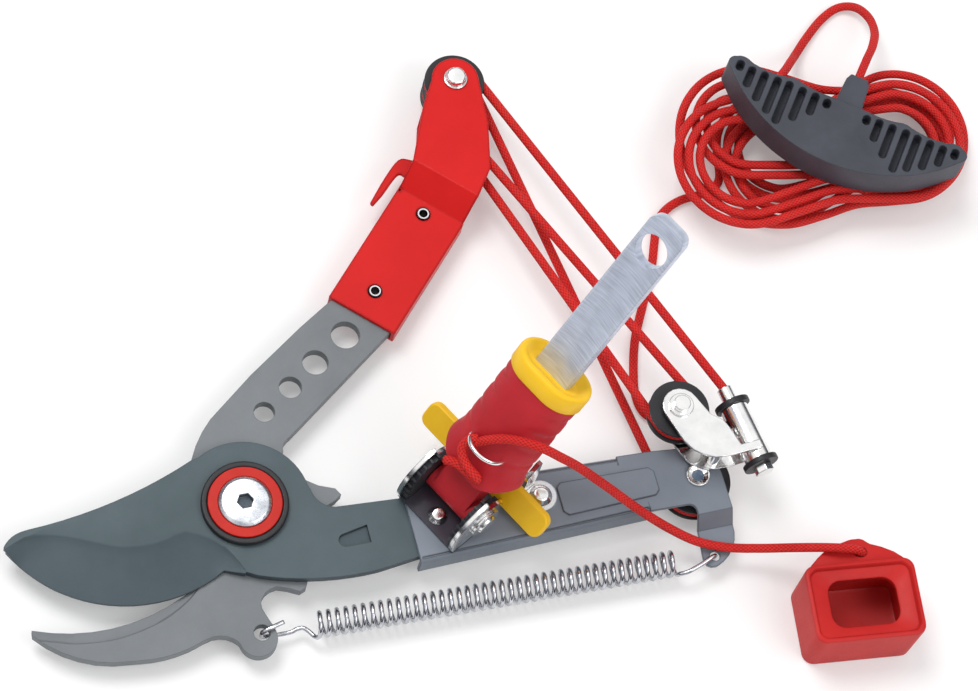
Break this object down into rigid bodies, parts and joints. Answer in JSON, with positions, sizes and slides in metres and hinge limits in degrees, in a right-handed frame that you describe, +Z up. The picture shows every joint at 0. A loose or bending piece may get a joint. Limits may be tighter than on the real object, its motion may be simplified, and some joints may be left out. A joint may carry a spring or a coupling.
{
  "type": "tree pruner pole head",
  "caption": "Rope-operated bypass tree pruner head: curved blade and hook, lever with pulley tackle, return spring, tilting pole adapter, pull cord with handle.",
  "frame": {"origin": "on the jaw pivot's axis, at the flat foot of the closed nut under it", "axes": "+X along the frame from the jaws to the spring's tail, +Y towards the lever's arm, +Z up from the table"},
  "size_m": [0.4673, 0.3086, 0.1676],
  "materials": {
    "blade_steel": "ground",
    "frame_paint": "satin",
    "lever_steel": "satin",
    "bright_steel": "polished",
    "red_paint": "gloss",
    "red_plastic": "satin",
    "yellow_plastic": "satin",
    "black_plastic": "satin",
    "grey_plastic": "matte",
    "tongue_steel": "brushed",
    "red_rope": "braided"
  },
  "bodies": {
    "frame": {"frame_channel": "frame_paint", "blade": "blade_steel", "pivot_bolt": "bright_steel", "pivot_nut": "bright_steel", "pivot_red_ring": "red_plastic", "pivot_black_ring": "black_plastic", "frame_eyelet": "bright_steel", "clevis_bracket": "bright_steel", "toothed_quadrants": "grey_plastic", "clevis_rivets": "bright_steel", "tilt_stop": "bright_steel", "stop_rivet": "bright_steel", "hinge_pin": "bright_steel", "hinge_washers": "bright_steel", "rope_frame_turn": "red_rope", "pull_lead": "red_rope", "pull_hank": "red_rope", "pull_loop": "red_rope", "pull_handle": "grey_plastic", "tether_cord": "red_rope", "tether_knot": "red_rope", "cord_clip": "red_plastic"},
    "lever": {"hook_lever": "lever_steel", "lever_sleeve": "red_paint", "rear_cheek": "red_paint", "roll_pins": "black_plastic", "top_axle": "bright_steel", "axle_clip": "bright_steel"},
    "front_wheel": {"top_sheave_front": "black_plastic"},
    "rear_wheel": {"top_sheave_rear": "black_plastic"},
    "block": {"block_front_plate": "bright_steel", "block_rear_plate": "bright_steel", "block_spacers": "bright_steel", "block_axle": "bright_steel", "axle_washer": "bright_steel", "swivel_pin": "bright_steel", "anchor_barrel": "bright_steel", "barrel_flanges": "black_plastic", "barrel_bolt": "bright_steel", "rope_runs": "red_rope", "rope_lower_turn": "red_rope"},
    "lower_wheel": {"lower_sheave": "black_plastic"},
    "frame_wheel": {"frame_sheave": "black_plastic"},
    "rope_turns": {"rope_top_turns": "red_rope"},
    "spring": {"return_spring": "bright_steel"},
    "hook": {"spring_hook": "bright_steel"},
    "adapter": {"adapter_body": "red_plastic", "adapter_collar": "yellow_plastic", "tongue": "tongue_steel", "tongue_pins": "tongue_steel", "staple": "bright_steel"},
    "lock": {"lock_bar": "yellow_plastic"}
  },
  "joints": [
    {"name": "jaw_pivot", "type": "hinge", "parent": "frame", "child": "lever", "pos_m": [0, 0, 0.01], "axis": [0, 0, -1], "range_deg": [0, 24], "stiffness_Nm_per_rad": 1.5, "springref_deg": -11.46},
    {"name": "block_swivel", "type": "hinge", "parent": "frame", "child": "block", "pos_m": [0.1915, -0.0205, 0.02], "axis": [0, 0, -1], "range_deg": [0, 17.2]},
    {"name": "rope_take_up", "type": "slide", "parent": "block", "child": "rope_turns", "axis": [0.2688, -0.9632, 0], "range_m": [0, 0.078], "deforming": ["rope_runs", "rope_top_turns"]},
    {"name": "spring_swing", "type": "hinge", "parent": "frame", "child": "spring", "pos_m": [0.1915, -0.0625, 0.01], "axis": [0, 0, -1], "range_deg": [0, 1.5]},
    {"name": "spring_stretch", "type": "slide", "parent": "spring", "child": "hook", "axis": [-0.9993, 0.0385, 0], "range_m": [0, 0.0226], "deforming": ["return_spring"]},
    {"name": "adapter_tilt", "type": "hinge", "parent": "frame", "child": "adapter", "pos_m": [0.086, -0.0175, 0.0283], "axis": [0.4695, -0.8829, 0], "range_deg": [0, 60], "deforming": ["tether_cord", "tether_knot"]},
    {"name": "lock_slide", "type": "slide", "parent": "adapter", "child": "lock", "axis": [-0.732, -0.3892, 0.5592], "range_m": [0, 0.0025]},
    {"name": "front_wheel_spin", "type": "hinge", "parent": "lever", "child": "front_wheel", "pos_m": [0.1375, 0.173, 0.0178], "axis": [0, 0, 1], "continuous": true},
    {"name": "rear_wheel_spin", "type": "hinge", "parent": "lever", "child": "rear_wheel", "pos_m": [0.1375, 0.173, 0.0097], "axis": [0, 0, 1], "continuous": true},
    {"name": "lower_wheel_spin", "type": "hinge", "parent": "block", "child": "lower_wheel", "pos_m": [0.189, -0.002, 0.0282], "axis": [0, 0, 1], "continuous": true},
    {"name": "frame_wheel_spin", "type": "hinge", "parent": "frame", "child": "frame_wheel", "pos_m": [0.1923, -0.0283, 0.0093], "axis": [0, 0, 1], "continuous": true}
  ],
  "couplings": [
    {"joint": "block_swivel", "follows": "jaw_pivot", "ratio": 0.7147},
    {"joint": "rope_take_up", "follows": "jaw_pivot", "m_per_rad": 0.18574},
    {"joint": "spring_swing", "follows": "jaw_pivot", "ratio": 0.0601},
    {"joint": "spring_stretch", "follows": "jaw_pivot", "m_per_rad": 0.05378}
  ]
}
